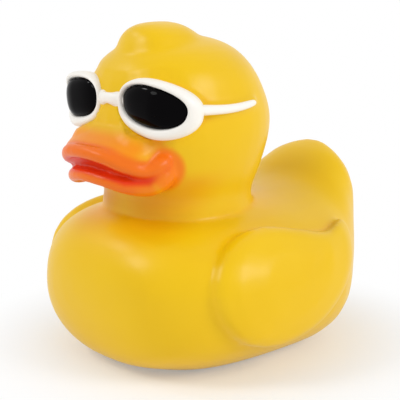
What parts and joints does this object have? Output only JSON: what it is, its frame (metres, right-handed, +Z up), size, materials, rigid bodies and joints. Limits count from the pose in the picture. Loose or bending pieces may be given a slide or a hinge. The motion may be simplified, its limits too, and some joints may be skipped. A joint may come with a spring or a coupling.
{
  "type": "rubber duck",
  "caption": "Yellow vinyl bath duck with white-framed dark sunglasses and an orange bill, hollow, with a squeaker in its flat base.",
  "frame": {"origin": "bottom centre of the bounding box, on the plane that the flat base stands on", "axes": "+Z up, the duck looks along -Y, +X is the duck's left side"},
  "size_m": [0.0698, 0.0802, 0.0771],
  "materials": {
    "vinyl_yellow": "satin moulded vinyl, with the orange bill and red mouth sprayed on",
    "paint_white": "satin paint on the moulded spectacle frames, bridge and temples",
    "paint_black": "gloss paint on the moulded lenses",
    "plastic_white": "smooth moulded plastic",
    "reed_film": "clear film"
  },
  "bodies": {
    "root": {"duck_body": "vinyl_yellow", "squeaker_housing": "plastic_white", "squeaker_disc": "plastic_white", "squeaker_reed": "reed_film", "squeaker_clip": "plastic_white"}
  },
  "joints": []
}
